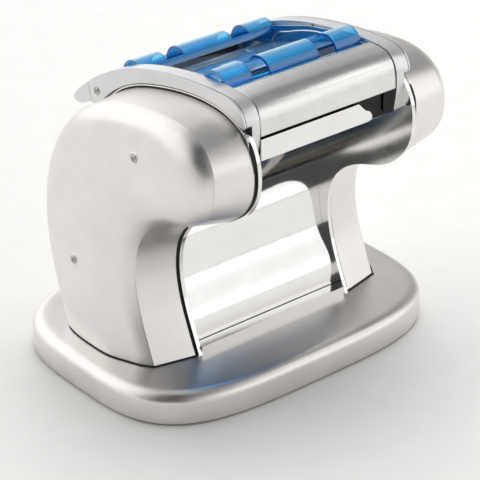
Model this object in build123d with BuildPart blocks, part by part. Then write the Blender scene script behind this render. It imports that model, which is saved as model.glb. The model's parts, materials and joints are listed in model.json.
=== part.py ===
# Electric pasta maker: a bowed base carries two crescent-shaped housings, and the
# roller unit with its front cutters hangs between their heads.
# Millimetres, +Z up, +X along the rollers, pasta leaves towards -Y. The origin is on the
# table under the middle of the bounding box; "side" and "plan" planes are centred on the base.

from build123d import *
from math import acos, atan2, cos, hypot, pi, radians, sin, tan
import os

os.makedirs("parts", exist_ok=True)

# ---- driving dimensions -------------------------------------------------------------

# base
base_half_length = 160.0
base_half_depth = 117.0
base_height = 28.6
base_squareness = 3.55      # exponent of the superellipse in plan
base_edge_radius = 9.0
base_wall = 3.0
floor_plate = 2.0
foot_radius = 11.0
foot_height = 6.0
foot_stand = 1.5            # how far the feet stand out under the base rim
foot_x, foot_y = 112.0, 66.0

# stations along X, from the middle outwards
roller_half = 69.5
cheek_inner = 70.3
cheek_outer = 77.9
plate_inner = 78.0
plate_outer = 81.5
gasket_outer = 83.3
housing_inner = 83.4
housing_outer = 136.0
housing_wall = 3.0
housing_round = 18.0
cap_outer = 84.9            # outer face of the cheek's top cap

# crescent outline of the housings, (Y, Z) from the front foot round the head to the back foot
crescent = [
    (-58.5, 28.6), (-49.0, 50.0), (-39.0, 76.0), (-34.5, 104.0), (-38.5, 127.0), (-52.0, 146.0),
    (-76.0, 159.5), (-103.0, 169.5), (-119.0, 182.5), (-128.5, 198.0), (-131.0, 215.0),
    (-128.0, 232.0), (-117.5, 247.0), (-100.0, 256.0), (-77.0, 259.0), (-50.0, 257.5),
    (-20.0, 252.0), (5.0, 245.0), (26.0, 235.5), (46.0, 221.5), (62.0, 204.0), (75.0, 180.0),
    (83.0, 153.0), (85.0, 125.0), (82.0, 98.0), (74.0, 68.0), (65.5, 46.0), (58.0, 28.6),
]
plate_proud = 2.2           # bright side plates stand out past the housings
gasket_set_back = 1.2
gasket_band = 5.0
cap_gap = 3.3               # from the housing outline up to the cheek caps
plate_reach = 133.4         # foremost point of the side plates, from the middle of the base

# cheeks: top profile from the front foot of the post back to the hinge
cheek_top = [
    (-119.0, 224.0), (-121.3, 236.0), (-121.9, 248.0), (-120.4, 259.0), (-114.8, 267.6),
    (-105.0, 272.0), (-92.0, 273.0), (-70.0, 272.2), (-45.0, 269.8), (-20.0, 266.0), (5.0, 260.2),
    (28.0, 252.6), (50.0, 242.4), (63.0, 234.8), (75.0, 226.2),
]
cheek_bottom = [
    (70.3, 210.6), (66.8, 206.8), (65.0, 200.0), (60.0, 188.0), (48.0, 181.0), (-22.0, 181.0),
    (-60.0, 196.0), (-90.0, 203.0),
]

# front cover, exit strip and the parts behind it
cover_profile = [
    (-91.5, 271.6), (-102.0, 271.4), (-110.5, 269.2), (-116.6, 264.0), (-119.4, 256.8),
    (-120.6, 249.8), (-121.2, 243.7),
]
cover_thickness = 2.2
cover_half = 69.9
strip_bottom = 223.8
strip_top = 241.6
strip_left = -69.6
strip_front = -123.4
strip_thickness = 1.4
strip_end = [(29.0, 241.6), (36.0, 234.6), (41.0, 232.2), (43.4, 228.4), (43.4, 225.4), (40.0, 223.8)]
carrier_front = -119.6
carrier_depth = 7.0
carrier_bottom = 222.5
carrier_top = 243.2
lug_left, lug_right = 57.0, 69.0
lug_thickness = 1.6

# guard: a sloped channel between two rows of half tubes
tube_radius = 14.4
guard_wall = 2.2
front_tube = (-68.0, 264.6)
rear_tube = (33.6, 239.3)
front_arc = (27.0, 50.0, 165.0)     # degrees: long strip from and to, far foot of the half tubes
rear_arc = (130.0, 153.0, 0.0)
tube_spans = [(-69.4, -43.0), (-25.2, 24.8), (43.0, 69.4)]
channel_line = [(-56.0, 262.0), (24.0, 236.6)]
guard_lip = [(-91.0, 270.2), (-81.4, 268.0)]
guard_half = 69.4
guard_end_wall = 2.8
end_wall_line = [
    (48.5, 229.5), (24.0, 234.4), (-56.0, 259.8), (-83.0, 266.0), (-91.0, 270.2), (-81.0, 270.0),
    (-54.0, 270.4), (-20.0, 264.2), (19.4, 252.0), (50.0, 240.4),
]
hinge_pin = (63.0, 222.0)
hinge_pin_radius = 3.0
hinge_arm_radius = 6.5

# rear cover with its pouring lip
rear_cover_half = 65.9
rear_cover_line = [(55.4, 238.4), (62.0, 234.4), (69.0, 229.6), (76.4, 223.9)]
lip_section = [
    (75.3, 226.0), (84.0, 219.6), (91.0, 213.4), (95.6, 207.6), (95.0, 204.0), (91.6, 202.8),
    (84.0, 204.2), (70.7, 210.2),
]

# rollers and cutters
roller_radius = 12.7
roller_gap = 0.2            # thinnest dough
roller_travel = 2.0         # from thinnest to thickest
smooth_nip = (29.0, 199.0)
cutter_nip = (-68.0, 236.0)
cutter_disc_radius = 13.7
cutter_core_radius = 11.6
noodle_width = 6.5
lane_clearance = 0.15
journal_radius = 5.0
running_clearance = 0.05
bush_radius = 7.5
feed_plates = [
    [(24.8, 212.2), (22.0, 220.0), (20.6, 228.0)],
    [(44.4, 227.2), (38.4, 219.0), (34.6, 212.6)],
]
chute_wall = 1.4

# gears: teeth and modules
gear_module = 1.6
roller_teeth = 16
fine_module = 1.0
pinion_teeth = 12
reduction_teeth = 60
mid_module = 1.25
mid_pinion_teeth = 12
drive_teeth = 54
drive_pinion_teeth = 18
transfer_teeth = [16, 17, 16]
backlash = 0.24
gear_angles = (-106.0, -95.0, -70.0)    # roller to drive gear, on to reduction gear, on to motor
roller_plane = 84.5         # inner faces of the three gear planes
drive_plane = 93.5
reduction_plane = 101.0
roller_face = 7.5
thin_face = 6.0
right_gear_plate_inner = 109.0
left_gear_plate_inner = 94.0
gear_plate_thickness = 3.0
stud_radius = 3.0
pillar_radius = 3.5
right_pillars = [(-54.0, 230.0), (-12.0, 160.0), (8.0, 88.0), (58.0, 90.0)]
left_pillars = [(-98.0, 228.0), (-22.0, 203.0), (55.0, 184.0)]
right_gear_plate_line = [
    (-64.0, 206.0), (-60.0, 232.0), (-40.0, 242.0), (20.0, 226.0), (44.0, 206.0), (62.0, 172.0),
    (66.0, 120.0), (64.0, 80.0), (2.0, 80.0), (-10.0, 120.0), (-20.0, 180.0),
]
left_gear_plate_line = [
    (-104.0, 220.0), (-98.0, 243.0), (-70.0, 251.0), (-30.0, 246.0), (10.0, 232.0), (36.0, 217.0),
    (60.0, 194.0), (60.0, 178.0), (40.0, 178.0), (10.0, 190.0), (-22.0, 196.0), (-66.0, 212.0),
]

# motor
motor_radius = 25.0
motor_wall = 2.5
motor_left = -32.0
motor_right = 77.9
rotor_radius = 18.0
motor_shaft_radius = 3.0

# thickness adjustment
cam_axis = (-6.9, 199.0)
cam_shaft_radius = 3.5
block_half = 9.0
block_height = 22.0
knob_radius = 18.0
knob_height = 18.0
knob_turn = 300.0

# power switch on the right housing, power inlet in the rear panel
switch_center = (18.0, 122.0)
switch_width, switch_height = 15.0, 24.0
rocker_tilt = 8.0
rocker_pin_radius = 1.5
inlet_x = -40.0
inlet_width, inlet_height = 24.0, 14.0
inlet_depth = 14.0
inlet_pin_radius = 1.2
inlet_pin_pitch = 8.6

# back wall and rear panel between the housings
wall_line = [
    (-50.2, 29.0), (-48.6, 42.0), (-43.0, 60.0), (-33.0, 78.0), (-27.5, 98.0), (-23.0, 120.0),
    (-11.0, 140.0), (8.0, 156.0), (28.0, 167.0), (50.0, 176.0),
]
wall_thickness = 1.5
panel_line = [
    (55.5, 29.0), (62.5, 48.0), (71.0, 70.0), (78.5, 98.0), (81.5, 125.0), (79.5, 153.0),
    (72.5, 180.0), (69.0, 205.6),
]
bar_front = -60.0
bar_depth = 9.4
bar_height = 7.0

tie_spots = [(-100.0, 252.0), (-18.0, 232.0), (58.0, 205.0)]
tie_radius = 3.0
screw_spots = [(-50.0, 219.0), (31.0, 99.0)]
screw_head_radius = 4.2
fit = 0.02                  # radial clearance of parts that are pressed or bolted together

# ---- the two working planes ---------------------------------------------------------

base_center_y = (plate_reach - base_half_depth) / 2
side = Plane(origin=(0, base_center_y, 0), x_dir=(0, 1, 0), z_dir=(1, 0, 0))
plan = Plane(origin=(0, base_center_y, 0), x_dir=(1, 0, 0), z_dir=(0, 0, 1))


# ---- helpers ------------------------------------------------------------------------

def shifted(points, distance):
    """The same chain of points, moved square to itself; positive is to its left."""
    moved = []
    for i, (a, b) in enumerate(points):
        ahead = points[min(i + 1, len(points) - 1)]
        behind = points[max(i - 1, 0)]
        da, db = ahead[0] - behind[0], ahead[1] - behind[1]
        size = hypot(da, db)
        moved.append((a - db / size * distance, b + da / size * distance))
    return moved


def outline(grow, floor_z=base_height):
    """Crescent grown outwards, closed by a straight foot at floor_z."""
    inner = shifted(crescent, grow)
    (y0, z0), (y1, z1) = inner[0], inner[-1]
    slope0 = (inner[1][0] - y0) / (inner[1][1] - z0)
    slope1 = (inner[-2][0] - y1) / (inner[-2][1] - z1)
    first = (y0 + slope0 * (floor_z - z0), floor_z)
    last = (y1 + slope1 * (floor_z - z1), floor_z)
    with BuildLine() as foot_and_arch:
        curve = Spline(first, *inner[1:-1], last)
        Line(curve @ 1, curve @ 0)
    return foot_and_arch.edges()


def crescent_solid(grow, start, end, mode=Mode.ADD, floor_z=base_height):
    with BuildSketch(side.offset(start)) as face:
        make_face(outline(grow, floor_z))
    extrude(face.sketch, amount=end - start, mode=mode)


def section(points, start, end, mode=Mode.ADD):
    """Straight-sided section in the side plane, carried along X."""
    with BuildSketch(side.offset(start)) as face:
        with BuildLine():
            Polyline(*points, close=True)
        make_face()
    extrude(face.sketch, amount=end - start, mode=mode)


def sheet(points, thickness, start, end, mode=Mode.ADD):
    """Smoothly bent sheet: the chain of points is its outer face."""
    inner = shifted(points, thickness)
    bend = Spline if len(points) > 2 else Line
    with BuildSketch(side.offset(start)) as face:
        with BuildLine():
            bend(*points)
            bend(*inner)
            Line(points[0], inner[0])
            Line(points[-1], inner[-1])
        make_face()
    extrude(face.sketch, amount=end - start, mode=mode)


def rod(center, radius, start, end, mode=Mode.ADD):
    with BuildSketch(side.offset(start)) as face:
        with Locations(center):
            Circle(radius)
    extrude(face.sketch, amount=end - start, mode=mode)


def block(y0, y1, z0, z1, start, end, mode=Mode.ADD):
    with BuildSketch(side.offset(start)) as face:
        with Locations(((y0 + y1) / 2, (z0 + z1) / 2)):
            Rectangle(y1 - y0, z1 - z0)
    extrude(face.sketch, amount=end - start, mode=mode)


def arch(center, radius, wall, low, high, start, end):
    """Part of a tube wall between two angles, carried along X."""
    def at(r, angle):
        return (center[0] + r * cos(radians(angle)), center[1] + r * sin(radians(angle)))
    middle = (low + high) / 2
    inside = radius - wall
    with BuildSketch(side.offset(start)) as face:
        with BuildLine():
            ThreePointArc(at(radius, low), at(radius, middle), at(radius, high))
            Line(at(radius, high), at(inside, high))
            ThreePointArc(at(inside, high), at(inside, middle), at(inside, low))
            Line(at(inside, low), at(radius, low))
        make_face()
    extrude(face.sketch, amount=end - start)


def base_outline(inset):
    """Superellipse in plan, inset by a wall."""
    a, b, n = base_half_length - inset, base_half_depth - inset, base_squareness
    points = []
    steps = 32
    for i in range(steps):
        t = 2 * pi * i / steps
        c, s = cos(t), sin(t)
        x = a * abs(c) ** (2 / n) * (1 if c >= 0 else -1)
        y = b * abs(s) ** (2 / n) * (1 if s >= 0 else -1)
        points.append((x, y))
    with BuildLine() as ring:
        Spline(*points, periodic=True)
    return ring.edges()


def gear_points(teeth, module, phase, center):
    """Spur gear outline with 20 degree involute flanks; phase is the angle of one tooth."""
    pitch = teeth * module / 2
    root, tip = pitch - 1.2 * module, pitch + 0.9 * module
    base_circle = pitch * cos(radians(20))

    def involute(radius):
        if radius <= base_circle:
            return 0.0
        angle = acos(base_circle / radius)
        return tan(angle) - angle

    half = (pi * module / 2 - backlash) / (2 * pitch)

    def flank(radius):
        return half + involute(pitch) - involute(radius)

    radii = [root, max(root, base_circle), pitch, tip]
    points = []
    for i in range(teeth):
        middle = phase + 2 * pi * i / teeth
        for r in radii:
            points.append((r, middle - flank(r)))
        for r in reversed(radii):
            points.append((r, middle + flank(r)))
    flat = []
    for r, angle in points:
        spot = (center[0] + r * cos(angle), center[1] + r * sin(angle))
        if not flat or hypot(spot[0] - flat[-1][0], spot[1] - flat[-1][1]) > 0.001:
            flat.append(spot)
    return flat


def spur_gear(center, teeth, module, phase, start, width, bore):
    with BuildSketch(side.offset(start)) as face:
        with BuildLine():
            Polyline(*gear_points(teeth, module, phase, center), close=True)
        make_face()
        with Locations(center):
            Circle(bore, mode=Mode.SUBTRACT)
    extrude(face.sketch, amount=width)


def meshed_phase(center1, teeth1, phase1, center2, teeth2):
    """Tooth angle of gear 2 that puts a gap of it over each tooth of gear 1."""
    line = atan2(center2[1] - center1[1], center2[0] - center1[0])
    ahead = teeth1 * (line - phase1) / (2 * pi)
    return line + pi + (ahead - 0.5) * 2 * pi / teeth2


def stepped(start, reach, angle):
    return (start[0] + reach * cos(angle), start[1] + reach * sin(angle))


def finish(builder, name):
    builder.part.label = name
    export_step(builder.part, "parts/" + name + ".step")


# ---- shaft positions ----------------------------------------------------------------

roller_pitch = roller_teeth * gear_module / 2
roller_spread = roller_radius + roller_gap / 2
rear_roller_axis = (smooth_nip[0] + roller_spread, smooth_nip[1])
front_roller_axis = (smooth_nip[0] - roller_spread, smooth_nip[1])
rear_cutter_axis = (cutter_nip[0] + roller_pitch, cutter_nip[1])
front_cutter_axis = (cutter_nip[0] - roller_pitch, cutter_nip[1])

drive_axis = stepped(rear_roller_axis, (roller_teeth + drive_pinion_teeth) * gear_module / 2,
                     radians(gear_angles[0]))
reduction_axis = stepped(drive_axis, (mid_pinion_teeth + drive_teeth) * mid_module / 2,
                         radians(gear_angles[1]))
motor_axis = stepped(reduction_axis, (pinion_teeth + reduction_teeth) * fine_module / 2,
                     radians(gear_angles[2]))

# three transfer gears carry the drive from the rear roller to the rear cutter, on the left
first_reach = (roller_teeth + transfer_teeth[0]) * gear_module / 2
middle_reach = (transfer_teeth[0] + transfer_teeth[1]) * gear_module / 2
run = hypot(rear_roller_axis[0] - rear_cutter_axis[0], rear_roller_axis[1] - rear_cutter_axis[1])
lean = acos((run / 2 - middle_reach) / first_reach)
way = atan2(rear_cutter_axis[1] - rear_roller_axis[1], rear_cutter_axis[0] - rear_roller_axis[0])
transfer_1 = stepped(rear_roller_axis, first_reach, way - lean)
transfer_2 = stepped(transfer_1, middle_reach, way)
transfer_3 = stepped(transfer_2, middle_reach, way)
transfer_axes = [transfer_1, transfer_2, transfer_3]

# tooth phases, each in mesh with the gear before it
pinion_phase = 0.0
reduction_phase = meshed_phase(motor_axis, pinion_teeth, pinion_phase, reduction_axis, reduction_teeth)
mid_pinion_phase = 0.0
drive_phase = meshed_phase(reduction_axis, mid_pinion_teeth, mid_pinion_phase, drive_axis, drive_teeth)
drive_pinion_phase = 0.0
rear_roller_phase = meshed_phase(drive_axis, drive_pinion_teeth, drive_pinion_phase,
                                 rear_roller_axis, roller_teeth)
front_roller_phase = meshed_phase(rear_roller_axis, roller_teeth, rear_roller_phase,
                                  front_roller_axis, roller_teeth)
transfer_phases = []
last_axis, last_teeth, last_phase = rear_roller_axis, roller_teeth, rear_roller_phase
for axis, teeth in zip(transfer_axes, transfer_teeth):
    last_phase = meshed_phase(last_axis, last_teeth, last_phase, axis, teeth)
    last_axis, last_teeth = axis, teeth
    transfer_phases.append(last_phase)
rear_cutter_phase = meshed_phase(last_axis, last_teeth, last_phase, rear_cutter_axis, roller_teeth)
front_cutter_phase = meshed_phase(rear_cutter_axis, roller_teeth, rear_cutter_phase,
                                  front_cutter_axis, roller_teeth)

journal_bore = journal_radius + running_clearance
shaft_hole = journal_radius + 1.0
stud_bore = stud_radius + running_clearance
gear_end = roller_plane + roller_face
reduction_end = reduction_plane + thin_face
right_gear_plate_outer = right_gear_plate_inner + gear_plate_thickness
left_gear_plate_outer = left_gear_plate_inner + gear_plate_thickness

# ---- base ---------------------------------------------------------------------------

with BuildPart() as base_cover:
    with BuildSketch(plan.offset(foot_stand)):
        make_face(base_outline(0))
    extrude(amount=base_height - foot_stand)
    fillet(base_cover.faces().sort_by(Axis.Z)[-1].edges(), radius=base_edge_radius)
    with BuildSketch(plan.offset(foot_stand)):
        make_face(base_outline(base_wall))
    extrude(amount=base_height - foot_stand - base_wall, mode=Mode.SUBTRACT)
finish(base_cover, "base_cover")

with BuildPart() as base_plate:
    with BuildSketch(plan.offset(foot_stand + 0.5)):
        make_face(base_outline(base_wall + 0.3))
    extrude(amount=floor_plate)
    with BuildSketch(plan.offset(foot_stand + 0.5)):
        with GridLocations(2 * foot_x, 2 * foot_y, 2, 2):
            Circle(foot_radius - 3 + fit)
    extrude(amount=floor_plate, mode=Mode.SUBTRACT)
    with BuildSketch(plan.offset(foot_stand + 0.5)):
        with GridLocations(2 * (foot_x + 22), 2 * foot_y - 66, 2, 2):
            Circle(1.8)
        with GridLocations(150, 2 * foot_y + 50, 2, 2):
            Circle(1.8)
    extrude(amount=floor_plate, mode=Mode.SUBTRACT)
finish(base_plate, "base_plate")

with BuildPart() as base_feet:
    with BuildSketch(plan):
        with GridLocations(2 * foot_x, 2 * foot_y, 2, 2):
            Circle(foot_radius)
    extrude(amount=foot_stand + 0.5)
    fillet(base_feet.edges().filter_by(GeomType.CIRCLE).group_by(Axis.Z)[0], radius=0.8)
    with BuildSketch(plan.offset(foot_stand + 0.5)):
        with GridLocations(2 * foot_x, 2 * foot_y, 2, 2):
            Circle(foot_radius - 3)
    extrude(amount=foot_height - foot_stand)
finish(base_feet, "base_feet")

# ---- housings, gaskets and side plates ----------------------------------------------

wall_inside = housing_outer - housing_wall
below = base_height - 2 * housing_round


def screw_bosses(ends):
    """Bosses for the housing screws, each reaching inwards to its own end."""
    for spot, end in zip(screw_spots, ends):
        rod(spot, screw_head_radius + 0.8, end, wall_inside)
        rod(spot, 1.6, end, housing_outer, mode=Mode.SUBTRACT)
        rod(spot, screw_head_radius + fit, housing_outer - 1.2, housing_outer, mode=Mode.SUBTRACT)


with BuildPart() as housing_cavity:
    crescent_solid(-housing_wall, housing_inner, wall_inside, floor_z=below)
    cavity_rim = housing_cavity.faces().sort_by(Axis.X)[-1].edges().sort_by(Axis.Z)[1:]
    fillet(cavity_rim, radius=housing_round - housing_wall)

with BuildPart() as housing:
    crescent_solid(0, housing_inner, housing_outer, floor_z=below)
    rim = housing.faces().sort_by(Axis.X)[-1].edges().sort_by(Axis.Z)[1:]
    fillet(rim, radius=housing_round)
    add(housing_cavity.part, mode=Mode.SUBTRACT)
    with BuildSketch(plan.offset(below)):
        Rectangle(4 * housing_outer, 4 * base_half_depth)
    extrude(amount=base_height - below, mode=Mode.SUBTRACT)

with BuildPart() as right_housing:
    add(housing.part)
    screw_bosses([right_gear_plate_outer, right_gear_plate_outer])
    rod(cam_axis, cam_shaft_radius + 1, wall_inside - 1, housing_outer + 1, mode=Mode.SUBTRACT)
    block(switch_center[0] - switch_width / 2 + 1, switch_center[0] + switch_width / 2 - 1,
          switch_center[1] - switch_height / 2 + 1, switch_center[1] + switch_height / 2 - 1,
          wall_inside - 1, housing_outer + 1, mode=Mode.SUBTRACT)
finish(right_housing, "right_housing")

with BuildPart(mode=Mode.PRIVATE) as left_blank:
    add(housing.part)
    screw_bosses([left_gear_plate_outer, plate_outer])

with BuildPart() as left_housing:
    mirror(left_blank.part, about=Plane.YZ)
finish(left_housing, "left_housing")

with BuildPart() as right_gasket:
    crescent_solid(-gasket_set_back, plate_outer, gasket_outer)
    crescent_solid(-gasket_set_back - gasket_band, plate_outer, gasket_outer, mode=Mode.SUBTRACT,
                   floor_z=base_height + gasket_band)
finish(right_gasket, "right_gasket")

with BuildPart() as left_gasket:
    mirror(right_gasket.part, about=Plane.YZ)
finish(left_gasket, "left_gasket")

with BuildPart() as side_plate:
    crescent_solid(plate_proud, plate_inner, plate_outer)
    rod(rear_roller_axis, shaft_hole, plate_inner, plate_outer, mode=Mode.SUBTRACT)
    rod(cam_axis, cam_shaft_radius + running_clearance, plate_inner, plate_outer, mode=Mode.SUBTRACT)

with BuildPart() as right_side_plate:
    add(side_plate.part)
    rod(motor_axis, motor_shaft_radius + 1.5, plate_inner, plate_outer, mode=Mode.SUBTRACT)
    with BuildSketch(side.offset(plate_inner)):
        with Locations((front_roller_axis[0] - roller_travel / 2, front_roller_axis[1])):
            SlotCenterToCenter(roller_travel, 2 * shaft_hole)
    extrude(amount=plate_outer - plate_inner, mode=Mode.SUBTRACT)
    for axis in (reduction_axis, drive_axis):
        rod(axis, stud_radius + fit, plate_inner, plate_outer, mode=Mode.SUBTRACT)
finish(right_side_plate, "right_side_plate")

with BuildPart() as left_side_plate:
    mirror(side_plate.part, about=Plane.YZ)
    for axis in (rear_cutter_axis, front_cutter_axis):
        rod(axis, shaft_hole, -plate_outer, -plate_inner, mode=Mode.SUBTRACT)
    for axis in transfer_axes:
        rod(axis, stud_radius + fit, -plate_outer, -plate_inner, mode=Mode.SUBTRACT)
finish(left_side_plate, "left_side_plate")

# ---- cheeks -------------------------------------------------------------------------

cam_high = front_roller_axis[0] - block_half - 0.1 - cam_axis[0]
cam_rise = roller_travel / radians(knob_turn)

with BuildPart() as cheek:
    with BuildSketch(side.offset(cheek_inner)):
        with BuildLine():
            Spline(*cheek_top)
            Polyline(cheek_top[-1], *cheek_bottom, cheek_top[0])
        make_face()
    extrude(amount=cap_outer - cheek_inner)
    crescent_solid(cap_gap, cheek_outer, cap_outer, mode=Mode.SUBTRACT)
    for axis in (rear_roller_axis, rear_cutter_axis, front_cutter_axis):
        rod(axis, bush_radius + fit, cheek_inner, cheek_outer, mode=Mode.SUBTRACT)
    block(front_roller_axis[0] - block_half - roller_travel - 0.2, front_roller_axis[0] + block_half + 0.1,
          front_roller_axis[1] - block_height / 2 - 0.1, front_roller_axis[1] + block_height / 2 + 0.1,
          cheek_inner, cheek_outer, mode=Mode.SUBTRACT)
    rod(cam_axis, cam_high + 0.4, cheek_inner, cheek_outer, mode=Mode.SUBTRACT)
    rod(hinge_pin, hinge_pin_radius + fit, cheek_inner, cap_outer, mode=Mode.SUBTRACT)
    for spot in tie_spots:
        rod(spot, tie_radius + fit, cheek_inner, cheek_outer, mode=Mode.SUBTRACT)

with BuildPart() as right_cheek:
    add(cheek.part)
finish(right_cheek, "right_cheek")

with BuildPart() as left_cheek:
    mirror(cheek.part, about=Plane.YZ)
finish(left_cheek, "left_cheek")

with BuildPart() as tie_rods:
    for spot in tie_spots:
        rod(spot, tie_radius, -cheek_outer, cheek_outer)
finish(tie_rods, "tie_rods")

# ---- covers between the housings ----------------------------------------------------

with BuildPart() as front_cover:
    sheet(cover_profile, cover_thickness, -cover_half, cover_half)
finish(front_cover, "front_cover")

with BuildPart() as exit_strip:
    with BuildSketch(Plane(origin=(0, base_center_y + strip_front, 0), x_dir=(1, 0, 0), z_dir=(0, -1, 0))):
        with BuildLine():
            Polyline((strip_left, strip_bottom), (strip_left, strip_top), *strip_end, close=True)
        make_face()
    extrude(amount=-strip_thickness)
finish(exit_strip, "exit_strip")

with BuildPart() as comb_carrier:
    block(carrier_front, carrier_front + carrier_depth, carrier_bottom, carrier_top,
          -cheek_inner, cheek_inner)
    block(strip_front + strip_thickness, carrier_front, strip_bottom + 3, strip_top - 3,
          strip_left + 3, strip_end[0][0])
finish(comb_carrier, "comb_carrier")

with BuildPart() as carrier_lug:
    lug_plane = Plane(origin=(0, base_center_y + carrier_front, 0), x_dir=(1, 0, 0), z_dir=(0, -1, 0))
    lug_half = (lug_right - lug_left) / 2
    lug_middle = (lug_left + lug_right) / 2
    with BuildSketch(lug_plane):
        with Locations((lug_middle, (carrier_top + carrier_bottom + 1 + lug_half) / 2)):
            Rectangle(2 * lug_half, carrier_top - carrier_bottom - 1 - lug_half)
        with Locations((lug_middle, carrier_bottom + 1 + lug_half)):
            Circle(lug_half)
    extrude(amount=lug_thickness)
finish(carrier_lug, "carrier_lug")

with BuildPart() as rear_cover:
    sheet(rear_cover_line, -cover_thickness, -rear_cover_half, rear_cover_half)
    section(lip_section, -cap_outer, cap_outer)
finish(rear_cover, "rear_cover")

panel_rise = atan2(panel_line[2][1] - panel_line[0][1], panel_line[2][0] - panel_line[0][0])
inlet_plane = Plane(origin=(inlet_x, base_center_y + panel_line[1][0], panel_line[1][1]),
                    x_dir=(-1, 0, 0), z_dir=(0, sin(panel_rise), -cos(panel_rise)))

with BuildPart() as back_wall:
    sheet(wall_line, -wall_thickness, -plate_inner + 0.1, plate_inner - 0.1)
finish(back_wall, "back_wall")

with BuildPart() as rear_panel:
    sheet(panel_line, wall_thickness, -plate_inner + 0.1, plate_inner - 0.1)
    with BuildSketch(inlet_plane.offset(-wall_thickness - 3)):
        Rectangle(inlet_width + 2 * fit, inlet_height + 2 * fit)
    extrude(amount=wall_thickness + 6, mode=Mode.SUBTRACT)
finish(rear_panel, "rear_panel")

with BuildPart() as power_inlet:
    with BuildSketch(inlet_plane.offset(0.3)):
        Rectangle(inlet_width + 5, inlet_height + 5)
    extrude(amount=1.6)
    with BuildSketch(inlet_plane.offset(0.3)):
        Rectangle(inlet_width, inlet_height)
    extrude(amount=-inlet_depth)
    with BuildSketch(inlet_plane.offset(1.9)):
        SlotCenterToCenter(inlet_pin_pitch, inlet_height - 5)
    extrude(amount=-inlet_depth + 1, mode=Mode.SUBTRACT)
    with BuildSketch(inlet_plane.offset(0.3 - inlet_depth)):
        with Locations((-inlet_pin_pitch / 2, 0), (inlet_pin_pitch / 2, 0)):
            Circle(inlet_pin_radius)
    extrude(amount=inlet_depth - 2)
finish(power_inlet, "power_inlet")

with BuildPart() as crossbar:
    block(bar_front, bar_front + bar_depth, base_height, base_height + bar_height,
          -plate_inner, plate_inner)
finish(crossbar, "crossbar")

# ---- guard --------------------------------------------------------------------------

with BuildPart() as guard:
    for center, (low, high, foot) in ((front_tube, front_arc), (rear_tube, rear_arc)):
        arch(center, tube_radius, guard_wall, low, high, -guard_half, guard_half)
        for left, right in tube_spans:
            arch(center, tube_radius, guard_wall, min(low, foot), max(high, foot), left, right)
    sheet(channel_line, -guard_wall, -guard_half, guard_half)
    sheet(guard_lip, -guard_wall, -guard_half, guard_half)
    rear_foot = (rear_tube[0] + tube_radius - guard_wall, rear_tube[1])
    block(rear_foot[0], rear_foot[0] + 3.4, rear_foot[1] - 2.4, rear_foot[1] + 0.8,
          -guard_half, guard_half)
    for start in (-guard_half, guard_half - guard_end_wall):
        end = start + guard_end_wall
        section(end_wall_line + [(hinge_pin[0] + 4.6, hinge_pin[1] + 4.6),
                                 (hinge_pin[0] - 4.6, hinge_pin[1] - 4.6)], start, end)
        rod(hinge_pin, hinge_arm_radius, start, end)
        rod(hinge_pin, hinge_pin_radius + running_clearance, start, end, mode=Mode.SUBTRACT)
finish(guard, "guard")

pin_end = guard_half - guard_end_wall - 0.4
with BuildPart() as guard_pins:
    rod(hinge_pin, hinge_pin_radius, -cap_outer, -pin_end)
    rod(hinge_pin, hinge_pin_radius, pin_end, cap_outer)
    rod(hinge_pin, hinge_pin_radius + 1.4, -cap_outer - 0.8, -cap_outer)
    rod(hinge_pin, hinge_pin_radius + 1.4, cap_outer, cap_outer + 0.8)
finish(guard_pins, "guard_pins")

# ---- smooth rollers, cutters and their bearings ---------------------------------------

with BuildPart() as rear_roller:
    rod(rear_roller_axis, roller_radius, -roller_half, roller_half)
    rod(rear_roller_axis, journal_radius, -gear_end, gear_end)
finish(rear_roller, "rear_roller")

with BuildPart() as front_roller:
    rod(front_roller_axis, roller_radius, -roller_half, roller_half)
    rod(front_roller_axis, journal_radius, -cheek_outer + 0.5, gear_end)
finish(front_roller, "front_roller")

lanes = int(2 * roller_half / (2 * noodle_width)) + 1
lane_left = -(2 * lanes - 1) * noodle_width / 2


def cutter(axis, first_lane, count):
    rod(axis, cutter_core_radius, -roller_half, roller_half)
    for i in range(count):
        start = lane_left + (2 * i + first_lane) * noodle_width
        rod(axis, cutter_disc_radius, start + lane_clearance / 2, start + noodle_width - lane_clearance / 2)
    rod(axis, journal_radius, -gear_end, plate_inner)


with BuildPart() as rear_cutter:
    cutter(rear_cutter_axis, 0, lanes)
finish(rear_cutter, "rear_cutter")

with BuildPart() as front_cutter:
    cutter(front_cutter_axis, 1, lanes - 1)
finish(front_cutter, "front_cutter")

with BuildPart() as roller_bushes:
    for axis in (rear_roller_axis, rear_cutter_axis, front_cutter_axis):
        for start in (-cheek_outer, cheek_inner):
            rod(axis, bush_radius, start, start + cheek_outer - cheek_inner)
            rod(axis, journal_bore, start, start + cheek_outer - cheek_inner, mode=Mode.SUBTRACT)
finish(roller_bushes, "roller_bushes")

with BuildPart() as bearing_blocks:
    for start in (-cheek_outer + 0.1, cheek_inner + 0.1):
        end = start + cheek_outer - cheek_inner - 0.2
        block(front_roller_axis[0] - block_half, front_roller_axis[0] + block_half,
              front_roller_axis[1] - block_height / 2, front_roller_axis[1] + block_height / 2, start, end)
        rod(front_roller_axis, journal_bore, start, end, mode=Mode.SUBTRACT)
finish(bearing_blocks, "bearing_blocks")


def comb(axis, first_lane, count):
    """Bar under a cutter with one finger in each of its grooves."""
    bar_top = axis[1] - cutter_disc_radius - 0.6
    block(axis[0] - 0.8, axis[0] + 0.8, bar_top - 12, bar_top, -cheek_inner, cheek_inner)
    for i in range(count):
        start = lane_left + (2 * i + first_lane) * noodle_width
        block(axis[0] - 0.8, axis[0] + 0.8, bar_top - 1, axis[1] - cutter_core_radius - 0.4,
              start + 0.6, start + noodle_width - 0.6)


with BuildPart() as rear_comb:
    comb(rear_cutter_axis, 1, lanes - 1)
finish(rear_comb, "rear_comb")

with BuildPart() as front_comb:
    comb(front_cutter_axis, 0, lanes)
finish(front_comb, "front_comb")

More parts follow.
